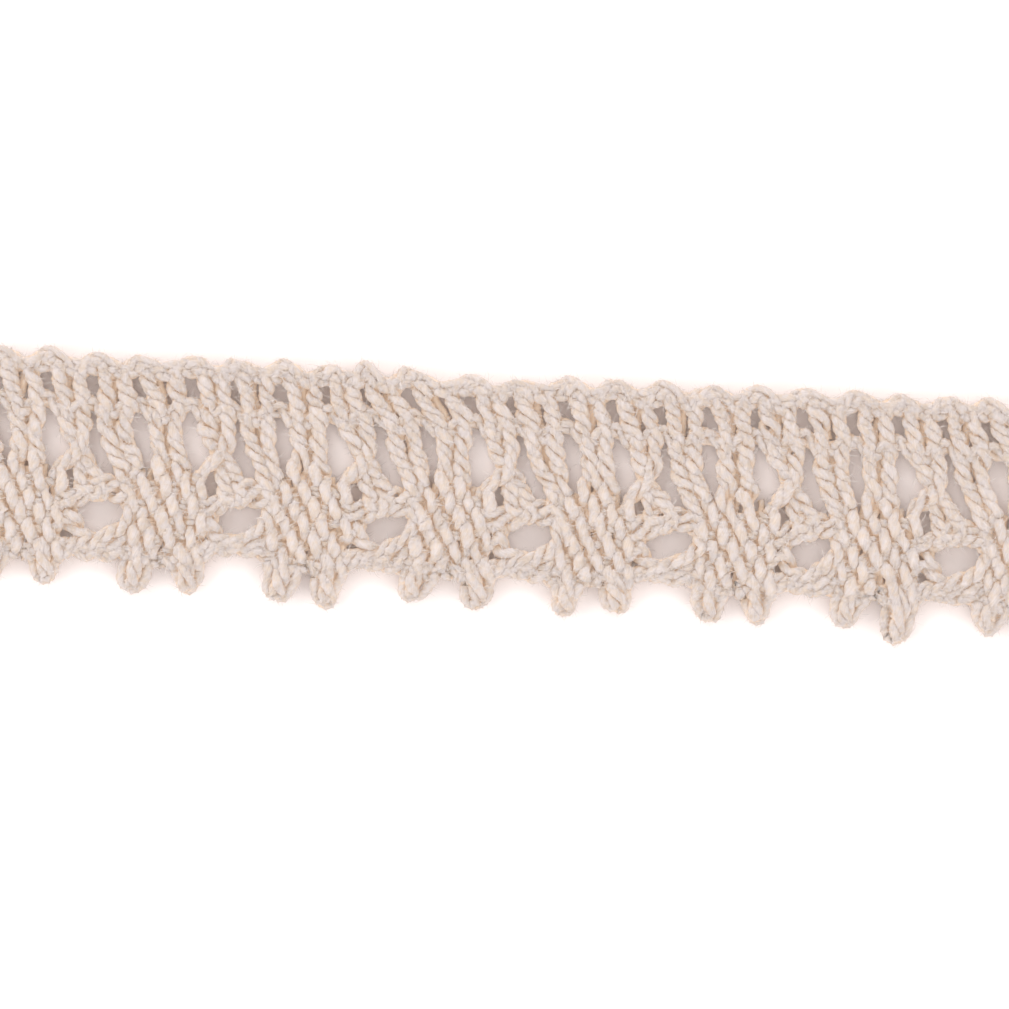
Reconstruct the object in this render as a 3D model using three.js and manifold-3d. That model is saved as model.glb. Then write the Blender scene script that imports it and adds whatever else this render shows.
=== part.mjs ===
// A cut length of cream cotton bobbin lace edging, lying flat.
// Units are millimetres, +Z is up and +Y points to the scalloped edge.
import * as THREE from 'three';
import { mergeVertices } from 'three/addons/utils/BufferGeometryUtils.js';
import Module from 'manifold-3d';

// Driving dimensions of the edging
const REPEAT_LENGTH = 12;
const REPEATS = 9;
const CUT_ALLOWANCE = 0.5;
const GROUND_THICKNESS = 1.3;
const RIM_WIDTH = 0.28;
const RIM_DEPTH = 0.45;

// The scalloped edge is a row of small bumps, counted from the edge line at y = 0
const BUMPS_PER_REPEAT = 3;
const FIRST_BUMP_AT = 1.3;
const BUMP_HALF_HEIGHT = 0.34;
const BUMP_UNEVENNESS = 0.35;
const BUMP_TURNS_OF_UNEVENNESS = 0.37;
const POINTS_PER_BUMP = 6;

// The scalloped edge sinks a little along one stretch, where the cotton has drawn in
const DRAWN_IN = { at: 46, halfLength: 11, depth: 0.45 };

// The pointed edge of one repeat, which starts in the middle of a fan. Each row follows one
// feature of the edge: it is carried along and lengthened with that feature.
const POINTED_EDGE = [
  { follows: 'notch', at: 0.0, reach: 18.45 },
  { follows: 'right', at: 0.9, reach: 19.2 },
  { follows: 'right', at: 2.05, reach: 20.0 },
  { follows: 'right', at: 3.0, reach: 19.2 },
  { follows: 'arc', at: 3.9, reach: 17.75 },
  { follows: 'arc', at: 5.8, reach: 17.35 },
  { follows: 'arc', at: 7.5, reach: 17.35 },
  { follows: 'left', at: 8.5, reach: 18.7 },
  { follows: 'left', at: 9.6, reach: 20.0 },
  { follows: 'left', at: 10.8, reach: 19.1 },
];
const POINTS_PER_ROW = 2;

// How far each repeat departs from the table above: the shift of its two points along the edge,
// the extra reach of each feature, and a scale on the width of its gaps. The notch is the one
// at the repeat's right end.
const UNEVEN_REPEATS = [
  { rightShift: 0.0, right: -0.1, arc: -0.1, leftShift: -0.2, left: -0.2, notch: 0.0, opening: 1.0 },
  { rightShift: -0.25, right: -0.3, arc: 0.15, leftShift: -0.3, left: 0.0, notch: 0.0, opening: 1.1 },
  { rightShift: 0.25, right: 0.0, arc: -0.8, leftShift: 0.0, left: 0.35, notch: 0.0, opening: 1.0 },
  { rightShift: -0.25, right: 0.5, arc: 0.0, leftShift: -0.7, left: -0.2, notch: 0.0, opening: 1.05 },
  { rightShift: 0.05, right: 0.0, arc: 0.0, leftShift: 0.0, left: 0.1, notch: -0.5, opening: 1.05 },
  { rightShift: 0.35, right: -0.45, arc: -0.5, leftShift: 0.1, left: 0.0, notch: 0.0, opening: 0.95 },
  { rightShift: 0.05, right: -0.15, arc: 0.0, leftShift: -0.2, left: 0.0, notch: 0.0, opening: 0.9 },
  { rightShift: -0.45, right: 1.0, arc: 0.0, leftShift: -0.4, left: -0.2, notch: 0.4, opening: 1.0 },
  { rightShift: 0.0, right: 0.0, arc: -0.2, leftShift: 0.0, left: 0.0, notch: 0.0, opening: 0.95 },
];

// The gaps of one repeat: centre along the strip and down from the edge line, full height and
// width, how far the lower end leans to +X, and how much wider the lower end is than the upper.
const GAPS = [
  { name: 'scallop eye', at: 1.0, down: 2.6, height: 2.1, width: 1.0, lean: 0.55, belly: 0.1 },
  { name: 'leaf slit', at: 3.0, down: 2.6, height: 2.0, width: 0.8, lean: 0.5, belly: 0.1 },
  { name: 'scallop eye', at: 5.0, down: 2.6, height: 2.1, width: 1.0, lean: 0.55, belly: 0.1 },
  { name: 'leaf slit', at: 7.0, down: 2.6, height: 2.0, width: 0.8, lean: 0.5, belly: 0.1 },
  { name: 'scallop eye', at: 9.0, down: 2.6, height: 2.1, width: 1.0, lean: 0.55, belly: 0.1 },
  { name: 'leaf slit', at: 11.0, down: 2.6, height: 2.0, width: 0.8, lean: 0.5, belly: 0.1 },
  { name: 'wide ladder gap', at: 2.0, down: 6.95, height: 3.9, width: 1.85, lean: 0.7, belly: 0.35 },
  { name: 'leaning ladder gap', at: 6.15, down: 7.7, height: 4.3, width: 1.65, lean: 1.9, belly: 0.4 },
  { name: 'narrow ladder gap', at: 9.6, down: 6.9, height: 4.2, width: 1.4, lean: 1.3, belly: 0.0 },
  { name: 'fan shoulder gap', at: 3.75, down: 10.1, height: 2.5, width: 1.05, lean: -0.8, belly: 0.2 },
  { name: 'heart between fans', at: 6.35, down: 13.2, height: 2.5, width: 3.3, lean: -0.4, belly: -0.75 },
  { name: 'fan foot gap', at: 3.5, down: 15.25, height: 1.5, width: 1.1, lean: 0.2, belly: 0.0 },
];
const SMALL_GAP_POINTS = 7;
const LARGE_GAP_POINTS = 12;
const LARGE_GAP_HEIGHT = 3;
const LARGE_GAP_WIDTH = 3;

// Each fan is a block of upright yarn columns that stand out from the ground as ribs. They draw
// together on the way down: half of them towards the left point, half towards the right one.
const FAN_COLUMNS = 8;
const COLUMN_PITCH = 0.83;
const LEFT_POINT_FROM_NOTCH = -2.4;
const RIGHT_POINT_FROM_NOTCH = 2.05;
const RIB_TOP = 9.3;
const RIB_FOOT = 19.3;
const RIB_FOOT_SHORTENING = 0.9;
const RIB_ROUTE = [
  { progress: 0.0, gather: 0.0 },
  { progress: 0.35, gather: 0.0 },
  { progress: 0.75, gather: 0.15 },
  { progress: 1.0, gather: 0.45 },
];
const RIB_STEPS = 3;
const RIB_HEIGHT = 0.3;
const RIB_ROOT_DEPTH = 0.2;
const RIB_HALF_WIDTH = 0.38;

// The strip wanders a little, as soft cotton does when it is laid out by hand. Each wave has a
// length along the strip, a slant that carries it across, and a swing in X and in Y.
const WAVES = [
  { length: 43, slant: 0.0, phase: 0.4, swingX: 0.1, swingY: 0.12 },
  { length: 17, slant: 0.8, phase: 2.2, swingX: 0.12, swingY: 0.05 },
  { length: 7.3, slant: -0.5, phase: 4.1, swingX: 0.08, swingY: 0.04 },
];

// The places of the two cut ends, and the numbers worked out from the dimensions above
const LEFT_CUT = -CUT_ALLOWANCE;
const RIGHT_CUT = REPEATS * REPEAT_LENGTH + CUT_ALLOWANCE;
const BUMP_PITCH = REPEAT_LENGTH / BUMPS_PER_REPEAT;
const FULL_TURN = 2 * Math.PI;

// Where a place of the even pattern ends up on the hand-laid strip
function settled(along, down) {
  let x = along;
  let y = -down;
  for (const wave of WAVES) {
    const angle = (FULL_TURN * (along + wave.slant * down)) / wave.length + wave.phase;
    x += wave.swingX * Math.sin(angle);
    y += wave.swingY * Math.cos(angle);
  }
  return new THREE.Vector2(x, y);
}

// The scalloped edge, from the left cut end to the right one
function scallopedEdge() {
  const points = [];
  const count = REPEATS * BUMPS_PER_REPEAT * POINTS_PER_BUMP;
  for (let i = 0; i <= count; i++) {
    const along = THREE.MathUtils.lerp(LEFT_CUT, RIGHT_CUT, i / count);
    const bump = Math.round((along - FIRST_BUMP_AT) / BUMP_PITCH);
    const swing = Math.sin(FULL_TURN * bump * BUMP_TURNS_OF_UNEVENNESS);
    const height = BUMP_HALF_HEIGHT * (1 + BUMP_UNEVENNESS * swing);
    const rise = Math.cos((FULL_TURN * (along - FIRST_BUMP_AT)) / BUMP_PITCH);
    const nearness = Math.max(0, 1 - ((along - DRAWN_IN.at) / DRAWN_IN.halfLength) ** 2);
    points.push(settled(along, nearness * DRAWN_IN.depth - height * rise));
  }
  return points;
}

// One row of the pointed edge, moved as its repeat asks
function pointedEdgeRow(row, repeat) {
  const { rightShift, leftShift } = UNEVEN_REPEATS[repeat];
  const shifts = { right: rightShift, left: leftShift, arc: 0, notch: 0 };
  const owner = row.follows === 'notch' ? Math.max(0, repeat - 1) : repeat;
  const along = repeat * REPEAT_LENGTH + row.at + shifts[row.follows];
  return settled(along, row.reach + UNEVEN_REPEATS[owner][row.follows]);
}

// The pointed edge, from the left cut end to the right one
function pointedEdge() {
  const [notch] = POINTED_EDGE;
  const knots = [];
  for (let repeat = 0; repeat < REPEATS; repeat++) {
    for (const row of POINTED_EDGE) {
      knots.push(pointedEdgeRow(row, repeat));
    }
  }
  knots[0] = settled(LEFT_CUT, notch.reach);
  knots.push(settled(RIGHT_CUT, notch.reach));
  return new THREE.SplineCurve(knots).getPoints((knots.length - 1) * POINTS_PER_ROW);
}

// One gap as a closed ring of points: an oval that leans and swells towards one end
function gapRing(gap, repeat) {
  const { opening } = UNEVEN_REPEATS[repeat];
  const isLarge = gap.height > LARGE_GAP_HEIGHT || gap.width > LARGE_GAP_WIDTH;
  const count = isLarge ? LARGE_GAP_POINTS : SMALL_GAP_POINTS;
  const ring = [];
  for (let i = 0; i < count; i++) {
    const angle = (FULL_TURN * (i + 0.5)) / count;
    const lower = -Math.sin(angle);
    const halfWidth = (gap.width / 2) * opening * (1 + gap.belly * lower);
    const along = gap.at + halfWidth * Math.cos(angle) + (gap.lean / 2) * lower;
    const down = gap.down + (gap.height / 2) * lower;
    ring.push(settled(repeat * REPEAT_LENGTH + along, down));
  }
  return new THREE.Path(ring);
}

// A closed mesh as a solid that can be joined and cut
function solidFrom(kernel, geometry) {
  const bare = geometry.clone();
  bare.deleteAttribute('normal');
  bare.deleteAttribute('uv');
  const merged = mergeVertices(bare);
  const mesh = new kernel.Mesh({
    numProp: 3,
    vertProperties: new Float32Array(merged.attributes.position.array),
    triVerts: new Uint32Array(merged.index.array),
  });
  return new kernel.Manifold(mesh);
}

// A joined and cut solid back as a drawable mesh with flat faces
function geometryFrom(solid) {
  const mesh = solid.getMesh();
  const geometry = new THREE.BufferGeometry();
  geometry.setAttribute('position', new THREE.BufferAttribute(mesh.vertProperties, 3));
  geometry.setIndex(new THREE.BufferAttribute(mesh.triVerts, 1));
  const flat = geometry.toNonIndexed();
  flat.computeVertexNormals();
  return flat;
}

// The openwork sheet: its outline and gaps, with rounded upper rims and a flat underside
function openworkSheet(kernel) {
  const outline = [...pointedEdge(), ...scallopedEdge().reverse()];
  const shape = new THREE.Shape(outline);
  for (let repeat = 0; repeat < REPEATS; repeat++) {
    for (const gap of GAPS) {
      shape.holes.push(gapRing(gap, repeat));
    }
  }
  const extruded = new THREE.ExtrudeGeometry(shape, {
    depth: GROUND_THICKNESS - RIM_DEPTH,
    bevelThickness: RIM_DEPTH,
    bevelSize: RIM_WIDTH,
    bevelOffset: -RIM_WIDTH,
    bevelSegments: 1,
    curveSegments: 1,
  });
  return solidFrom(kernel, extruded);
}

// The route of one rib of the fan whose middle is at the start of the given repeat
function ribRoute(repeat, column) {
  const isLeft = column < FAN_COLUMNS / 2;
  const point = isLeft ? LEFT_POINT_FROM_NOTCH : RIGHT_POINT_FROM_NOTCH;
  const place = (column - (FAN_COLUMNS - 1) / 2) * COLUMN_PITCH;
  const foot = RIB_FOOT - RIB_FOOT_SHORTENING * Math.abs(place - point);
  const knots = RIB_ROUTE.map(({ progress, gather }) => {
    const along = repeat * REPEAT_LENGTH + THREE.MathUtils.lerp(place, point, gather);
    const { x, y } = settled(along, THREE.MathUtils.lerp(RIB_TOP, foot, progress));
    return new THREE.Vector3(x, y, GROUND_THICKNESS);
  });
  return new THREE.CatmullRomCurve3(knots);
}

// One rib: a low ridge with its root sunk in the ground. The section's X axis points down.
function fanRib(repeat, column) {
  const section = new THREE.Shape([
    new THREE.Vector2(-RIB_HEIGHT, 0),
    new THREE.Vector2(RIB_ROOT_DEPTH, -RIB_HALF_WIDTH),
    new THREE.Vector2(RIB_ROOT_DEPTH, RIB_HALF_WIDTH),
  ]);
  return new THREE.ExtrudeGeometry(section, {
    extrudePath: ribRoute(repeat, column),
    steps: RIB_STEPS,
    curveSegments: 1,
  });
}

// All the ribs that stand between the two cut ends
function fanRibs() {
  const ribs = [];
  for (let repeat = 0; repeat <= REPEATS; repeat++) {
    for (let column = 0; column < FAN_COLUMNS; column++) {
      const isLeft = column < FAN_COLUMNS / 2;
      const isCutOff = (repeat === 0 && isLeft) || (repeat === REPEATS && !isLeft);
      if (!isCutOff) {
        ribs.push(fanRib(repeat, column));
      }
    }
  }
  return ribs;
}

// Everything under the surface that the lace lies on
function underside() {
  const margin = REPEAT_LENGTH;
  const length = RIGHT_CUT - LEFT_CUT;
  const slab = new THREE.BoxGeometry(length + 2 * margin, length, margin);
  slab.translate(length / 2, 0, -margin / 2);
  return slab;
}

const kernel = await Module();
kernel.setup();

let laceSolid = openworkSheet(kernel).subtract(solidFrom(kernel, underside()));
for (const rib of fanRibs()) {
  laceSolid = laceSolid.add(solidFrom(kernel, rib));
}
const laceGeometry = geometryFrom(laceSolid);
laceGeometry.computeBoundingBox();
const middle = laceGeometry.boundingBox.getCenter(new THREE.Vector3());
laceGeometry.translate(-middle.x, -middle.y, 0);

const cotton = new THREE.MeshStandardMaterial({ color: 0xded0c4, roughness: 0.92, metalness: 0 });
const lace = new THREE.Mesh(laceGeometry, cotton);
lace.name = 'lace';

const edging = new THREE.Group();
edging.add(lace);
export default edging;
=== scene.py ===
# A cut length of cream cotton bobbin lace edging, lying flat on a pale table.
# Sizes are in millimetres, but those of the table and the lights are in metres, as all meshes are.
import math
from collections import namedtuple

import bpy
import numpy as np
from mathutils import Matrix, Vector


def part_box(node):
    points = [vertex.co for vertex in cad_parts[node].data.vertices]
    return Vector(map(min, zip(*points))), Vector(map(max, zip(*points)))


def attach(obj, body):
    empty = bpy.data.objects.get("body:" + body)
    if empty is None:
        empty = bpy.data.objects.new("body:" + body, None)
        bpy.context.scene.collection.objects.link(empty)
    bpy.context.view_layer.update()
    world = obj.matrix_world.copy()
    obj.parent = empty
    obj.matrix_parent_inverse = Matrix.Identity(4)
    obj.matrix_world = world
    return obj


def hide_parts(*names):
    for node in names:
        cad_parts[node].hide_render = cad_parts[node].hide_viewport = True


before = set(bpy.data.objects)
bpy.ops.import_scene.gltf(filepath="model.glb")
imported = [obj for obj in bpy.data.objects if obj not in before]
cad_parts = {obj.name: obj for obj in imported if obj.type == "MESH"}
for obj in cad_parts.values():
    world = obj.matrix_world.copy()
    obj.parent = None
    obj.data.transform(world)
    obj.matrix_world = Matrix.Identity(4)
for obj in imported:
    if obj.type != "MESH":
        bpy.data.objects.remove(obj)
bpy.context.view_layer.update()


# The table and the light. The lace lies on a plain pale sheet in a bright white room. Five soft
# panels stand round it in a ring, and the one at the upper left is the brightest.
MM = 0.001
TABLE_SIDE = 4.0
TABLE_COLOUR = (0.9, 0.825, 0.8, 1.0)
TABLE_ROUGHNESS = 0.9
ROOM_LIGHT = 0.85
LIGHT_COLOUR = (1.0, 0.995, 1.0, 1.0)
PANEL_RING = 0.75
PANEL_HEIGHT = 0.35
PANEL_SIZE = 0.6
Panel = namedtuple("Panel", "name bearing watts")
PANELS = [
    Panel("window", 125, 5.0),
    Panel("panel_right", 35, 2.7),
    Panel("panel_near_right", -35, 2.4),
    Panel("panel_near", -90, 2.5),
    Panel("panel_left", -160, 2.8),
]


def new_material(name):
    """A node material with its Principled BSDF, ready to be wired."""
    material = bpy.data.materials.new(name)
    material.use_nodes = True
    return material, material.node_tree, material.node_tree.nodes["Principled BSDF"]


def add_mesh(name, points, edges, faces):
    """A named mesh object in the scene, at the origin, with its place in its points."""
    mesh = bpy.data.meshes.new(name)
    mesh.from_pydata([tuple(p) for p in points], edges, faces)
    mesh.update()
    piece = bpy.data.objects.new(name, mesh)
    bpy.context.scene.collection.objects.link(piece)
    return piece


half = TABLE_SIDE / 2
corners = [(-half, -half, 0), (half, -half, 0), (half, half, 0), (-half, half, 0)]
table = add_mesh("table", corners, [], [(0, 1, 2, 3)])
table_paint, _, shader = new_material("pale_table")
shader.inputs["Base Color"].default_value = TABLE_COLOUR
shader.inputs["Roughness"].default_value = TABLE_ROUGHNESS
table.data.materials.append(table_paint)

for panel in PANELS:
    light = bpy.data.lights.new(panel.name, "AREA")
    light.size = PANEL_SIZE
    light.energy = panel.watts
    light.color = LIGHT_COLOUR[:3]
    holder = bpy.data.objects.new(panel.name, light)
    bearing = math.radians(panel.bearing)
    holder.location = (PANEL_RING * math.cos(bearing), PANEL_RING * math.sin(bearing), PANEL_HEIGHT)
    towards = -holder.location
    holder.rotation_euler = towards.to_track_quat("-Z", "Y").to_euler()
    bpy.context.scene.collection.objects.link(holder)

room = bpy.data.worlds.new("white_room")
room.use_nodes = True
room.node_tree.nodes["Background"].inputs["Strength"].default_value = ROOM_LIGHT
room.node_tree.nodes["Background"].inputs["Color"].default_value = LIGHT_COLOUR
bpy.context.scene.world = room
bpy.context.scene.view_settings.view_transform = "Standard"


# The camera looks straight down, as in a catalogue picture, from half a metre up. The strip
# runs down to the right by a few degrees, and a little over seven repeats show.
VIEW_WIDTH = 85.0
VIEW_CENTRE = (-1.76, -0.62)
VIEW_TURN = math.radians(3.15)
CAMERA_HEIGHT = 500.0
SENSOR = 36.0
NEAREST_SEEN = 10.0

camera_data = bpy.data.cameras.new("camera")
camera_data.sensor_width = SENSOR
camera_data.lens = SENSOR * CAMERA_HEIGHT / VIEW_WIDTH
camera_data.clip_start = NEAREST_SEEN * MM
camera = bpy.data.objects.new("camera", camera_data)
camera.location = (VIEW_CENTRE[0] * MM, VIEW_CENTRE[1] * MM, CAMERA_HEIGHT * MM)
camera.rotation_euler = (0, 0, VIEW_TURN)
bpy.context.scene.collection.objects.link(camera)
bpy.context.scene.camera = camera


# The pricked pattern. Every place on the lace is given along the strip and down from the edge
# line of its scallops; a repeat starts in the notch in the middle of a fan. The strip was laid
# out by hand, so it wanders a little, and no two repeats are quite alike.
REPEAT = 12.0
REPEATS = 9
LEFT_CUT_OVERHANG = 0.395
HIGHEST_BUMP = 0.544
lace_low, lace_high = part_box("lace")
FIRST_NOTCH = lace_low[0] / MM + LEFT_CUT_OVERHANG
EDGE_LINE = lace_high[1] / MM - HIGHEST_BUMP

Wave = namedtuple("Wave", "length slant phase swing_x swing_y")
WAVES = [
    Wave(43, 0.0, 0.4, 0.1, 0.12),
    Wave(17, 0.8, 2.2, 0.12, 0.05),
    Wave(7.3, -0.5, 4.1, 0.08, 0.04),
]
# Along the scalloped edge the cotton has drawn in over one stretch
DRAWN_IN_AT = 46.0
DRAWN_IN_HALF = 11.0
DRAWN_IN_DEPTH = 0.45
DRAWN_IN_FADE = 3.0

# Shifts and extra reach of the two points, the arc and the notch of each repeat
Uneven = namedtuple("Uneven", "right_shift right arc left_shift left notch")
UNEVEN = [
    Uneven(0.0, -0.1, -0.1, -0.2, -0.2, 0.0),
    Uneven(-0.25, -0.3, 0.15, -0.3, 0.0, 0.0),
    Uneven(0.25, 0.0, -0.8, 0.0, 0.35, 0.0),
    Uneven(-0.25, 0.5, 0.0, -0.7, -0.2, 0.0),
    Uneven(0.05, 0.0, 0.0, 0.0, 0.1, -0.5),
    Uneven(0.35, -0.45, -0.5, 0.1, 0.0, 0.0),
    Uneven(0.05, -0.15, 0.0, -0.2, 0.0, 0.0),
    Uneven(-0.45, 1.0, 0.0, -0.4, -0.2, 0.4),
    Uneven(0.0, 0.0, -0.2, 0.0, 0.0, 0.0),
]

# Each bump of the scalloped edge strays a little along it and in height. A few stray far; they
# are counted from the left end, and the first is number 0.
SCALLOP = 4.0
SCALLOP_AT = 1.3
SCALLOPS = 27
BUMP_SHIFT = 0.25
BUMP_RISE = 0.1
BUMP_SEED = 8
Stray = namedtuple("Stray", "bump shift rise")
STRAYS = [
    Stray(6, 0.8, 0.0), Stray(10, -1.2, 0.4), Stray(11, -1.5, 0.2), Stray(13, -0.7, 0.0),
    Stray(23, -0.8, 0.0),
]
BUMP_FADES = (2.0, 6.0)
RISE_FADES = (0.6, 2.4)

# Where the features of a repeat lie along it, how far they spread, and where they begin to count
RIGHT_POINT = 2.05
LEFT_POINT = 9.6
ARC_MIDDLE = 6.0
POINT_HALF = 1.9
ARC_HALF = 3.4
NOTCH_HALF = 1.6
POINT_STARTS = 15.0
POINT_ENDS = 19.0
ARC_STARTS = 14.0
ARC_ENDS = 17.0
FLAT_TOP = 0.35


def eased(value, low, high):
    """0 below low, 1 above high and a smooth rise between."""
    share = np.clip((value - low) / (high - low), 0, 1)
    return share * share * (3 - 2 * share)


def hump(distance, half):
    """1 in the middle of a feature, falling smoothly to 0 at its edge."""
    return 1 - eased(np.abs(distance), FLAT_TOP * half, half)


bump_chance = np.random.default_rng(BUMP_SEED)
bump_shifts = bump_chance.uniform(-BUMP_SHIFT, BUMP_SHIFT, SCALLOPS)
bump_rises = bump_chance.uniform(-BUMP_RISE, BUMP_RISE, SCALLOPS)
for stray in STRAYS:
    bump_shifts[stray.bump] = stray.shift
    bump_rises[stray.bump] = stray.rise


def settled(along, down, height):
    """Points of the even pattern as they lie on the table, in metres."""
    repeat = np.clip(np.floor(along / REPEAT), 0, REPEATS - 1).astype(int)
    within = along - repeat * REPEAT
    right_shift, right_reach, arc_reach, left_shift, left_reach, notch_reach = np.array(UNEVEN)[repeat].T
    notch_reach_before = np.array(UNEVEN)[np.clip(repeat - 1, 0, REPEATS - 1), -1]
    low = eased(down, POINT_STARTS, POINT_ENDS)
    right = hump(within - RIGHT_POINT, POINT_HALF) * low
    left = hump(within - LEFT_POINT, POINT_HALF) * low
    arc = hump(within - ARC_MIDDLE, ARC_HALF) * eased(down, ARC_STARTS, ARC_ENDS)
    notch_after = hump(within - REPEAT, NOTCH_HALF) * low
    notch_before = hump(within, NOTCH_HALF) * low
    x = along + right * right_shift + left * left_shift
    reach = right * right_reach + arc * arc_reach + left * left_reach
    reach = reach + notch_after * notch_reach + notch_before * notch_reach_before
    nearness = np.clip(1 - ((along - DRAWN_IN_AT) / DRAWN_IN_HALF) ** 2, 0, 1)
    reach = reach + nearness * DRAWN_IN_DEPTH * (1 - eased(down, 0, DRAWN_IN_FADE))
    even_bumps = SCALLOP_AT + SCALLOP * np.arange(SCALLOPS)
    shift, rise = (np.interp(along, even_bumps, bumps) for bumps in (bump_shifts, bump_rises))
    x = x + shift * (1 - eased(down, *BUMP_FADES))
    crest = (1 + np.cos(2 * math.pi * (along - SCALLOP_AT) / SCALLOP)) / 2
    reach = reach - rise * crest * (1 - eased(down, *RISE_FADES))
    y = -(down + reach)
    for wave in WAVES:
        angle = 2 * math.pi * (along + wave.slant * down) / wave.length + wave.phase
        x = x + wave.swing_x * np.sin(angle)
        y = y + wave.swing_y * np.cos(angle)
    return np.stack([(x + FIRST_NOTCH) * MM, (y + EDGE_LINE) * MM, height * MM], axis=1)


# The pairs of the right half of each fan. A pair here is three cotton yarns of two plies. Between
# stitches they twist round each other into a cord. In a fan two of them open side by side and
# weave, and the third, the core, runs low beneath them.
YARN_RADIUS = 0.37
PAIR_SPREAD = 0.38
PAIR_RISE = 0.33
PAIR_HEIGHT = 0.86
RIGHT_TWIST = 1.3
CORE_RADIUS = 0.37
CORE_HEIGHT = 0.5
WORKER_RADIUS = 0.36
LOWEST_GAP = 0.02

# The cloth of a fan: its upright columns, the workers that cross it, and the stitches
COLUMN_PITCH = 0.83
COLUMN_RADIUS = 0.46
WEFT_SPREAD = 0.16
WEFT_RADIUS = 0.25
WEFT_PITCH = 1.42
FIRST_WEFT = 9.35
WEAVE_RISE = 0.34
WEAVE_LEAN = 0.17
WEAVE_ENDS = (17.0, 18.2)
DIP_LENGTH = 0.55
DIP_PINCH = 0.18
PINCH_MIDDLE = 0.5
LEAF_SWELL = 0.1

# How finely a route is followed, how far a yarn strays from it, and how uneven its thickness is
SAMPLE_STEP = 0.22
FINE_SAMPLES = 40
FEWEST_SAMPLES = 8
SLACK = 0.21
SLACK_RISE = 0.05
SLUBS = 0.18

Row = namedtuple("Row", "along down twists cloth lift")

# A row of a route is a place, the half twists made up to it, how far the pair has opened into
# cloth, and its lift off the middle. This route goes from the garland over the heart up to a
# scallop, down into the right half of a fan, round the right point, up to the next scallop and
# down the far side of the heart into the fan's foot.
RIGHT_ROUTE = [
    Row(4.25, 7.7, -2.6, 0, -0.1),
    Row(4.9, 8.6, -2.1, 0, -0.1),
    Row(5.55, 9.5, -1.6, 0, 0),
    Row(6.15, 10.4, -1.1, 0, 0),
    Row(6.45, 11.2, -0.7, 0, 0.1),
    Row(6.1, 11.8, -0.4, 0, 0.2),
    Row(5.4, 11.75, 0.0, 0, 0.2),
    Row(4.85, 11.0, 0.4, 0, 0),
    Row(4.6, 9.9, 0.9, 0, 0),
    Row(4.5, 8.9, 1.4, 0, -0.1),
    Row(4.3, 8.0, 1.8, 0, -0.25),
    Row(3.8, 7.2, 2.2, 0, -0.1),
    Row(3.3, 6.3, 2.6, 0, 0),
    Row(2.85, 5.3, 3.1, 0, 0),
    Row(2.75, 4.1, 3.7, 0, 0),
    Row(2.1, 2.5, 4.4, 0, 0),
    Row(1.95, 1.5, 4.9, 0, 0),
    Row(1.85, 0.8, 5.3, 0, 0),
    Row(1.25, 0.5, 5.6, 0, 0),
    Row(0.5, 0.6, 6.0, 0, 0),
    Row(0.02, 1.1, 6.3, 0, 0),
    Row(-0.2, 1.7, 6.6, 0, 0),
    Row(-0.1, 2.5, 7.0, 0, 0),
    Row(0.42, 4.1, 7.8, 0, 0),
    Row(0.42, 5.5, 8.5, 0, 0),
    Row(0.45, 7.0, 9.2, 0, 0),
    Row(0.7, 8.2, 9.7, 0.3, 0),
    Row(0.83, 9.2, 10.0, 1, 0),
    Row(0.83, 12.0, 10.0, 1, 0),
    Row(0.83, 15.0, 10.0, 1, 0),
    Row(1.15, 17.0, 10.0, 1, 0),
    Row(1.4, 18.05, 10.0, 1, 0),
    Row(1.52, 18.85, 10.1, 0.8, 0),
    Row(1.7, 19.2, 10.2, 0.5, 0),
    Row(1.98, 19.32, 10.385, 0.3, 0),
    Row(2.26, 19.2, 10.57, 0.5, 0),
    Row(2.42, 18.85, 10.67, 0.8, 0),
    Row(2.45, 18.1, 10.769, 1, 0),
    Row(2.5, 17.2, 10.769, 1, 0),
    Row(2.49, 15.0, 10.769, 1, 0),
    Row(2.49, 12.4, 10.769, 1, 0),
    Row(2.5, 10.8, 10.769, 1, 0),
    Row(2.7, 9.8, 11.069, 0.6, 0),
    Row(3.15, 9.1, 11.369, 0, 0),
    Row(3.75, 8.6, 11.669, 0, 0.1),
    Row(4.25, 8.0, 12.069, 0, 0.25),
    Row(4.5, 7.2, 12.469, 0, 0.1),
    Row(4.6, 6.3, 12.869, 0, 0),
    Row(4.55, 5.3, 13.369, 0, 0),
    Row(4.4, 4.1, 13.969, 0, 0),
    Row(3.88, 2.5, 14.769, 0, 0),
    Row(3.75, 1.7, 15.169, 0, 0),
    Row(4.02, 1.1, 15.469, 0, 0),
    Row(4.5, 0.6, 15.769, 0, 0),
    Row(5.25, 0.5, 16.169, 0, 0),
    Row(5.85, 0.8, 16.469, 0, 0),
    Row(5.88, 1.5, 16.769, 0, 0),
    Row(6.1, 2.5, 17.369, 0, 0),
    Row(6.5, 4.1, 18.169, 0, 0),
    Row(6.5, 5.5, 18.869, 0, 0),
    Row(6.82, 6.7, 19.469, 0, 0),
    Row(7.32, 7.9, 20.069, 0, 0),
    Row(7.95, 9.1, 20.669, 0, 0),
    Row(8.35, 10.2, 21.169, 0, 0),
    Row(8.6, 11.2, 21.669, 0, 0),
    Row(8.85, 12.3, 22.169, 0, 0),
    Row(8.75, 13.3, 22.669, 0, 0.1),
    Row(8.15, 14.2, 23.169, 0, 0.2),
    Row(7.2, 14.9, 23.669, 0, 0.2),
    Row(6.2, 15.4, 24.169, 0, 0.2),
    Row(5.0, 15.85, 24.669, 0, 0),
    Row(3.9, 16.3, 25.269, 0, 0),
    Row(3.1, 16.5, 25.769, 0, 0),
]

Yarn = namedtuple("Yarn", "points radius")


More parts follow.
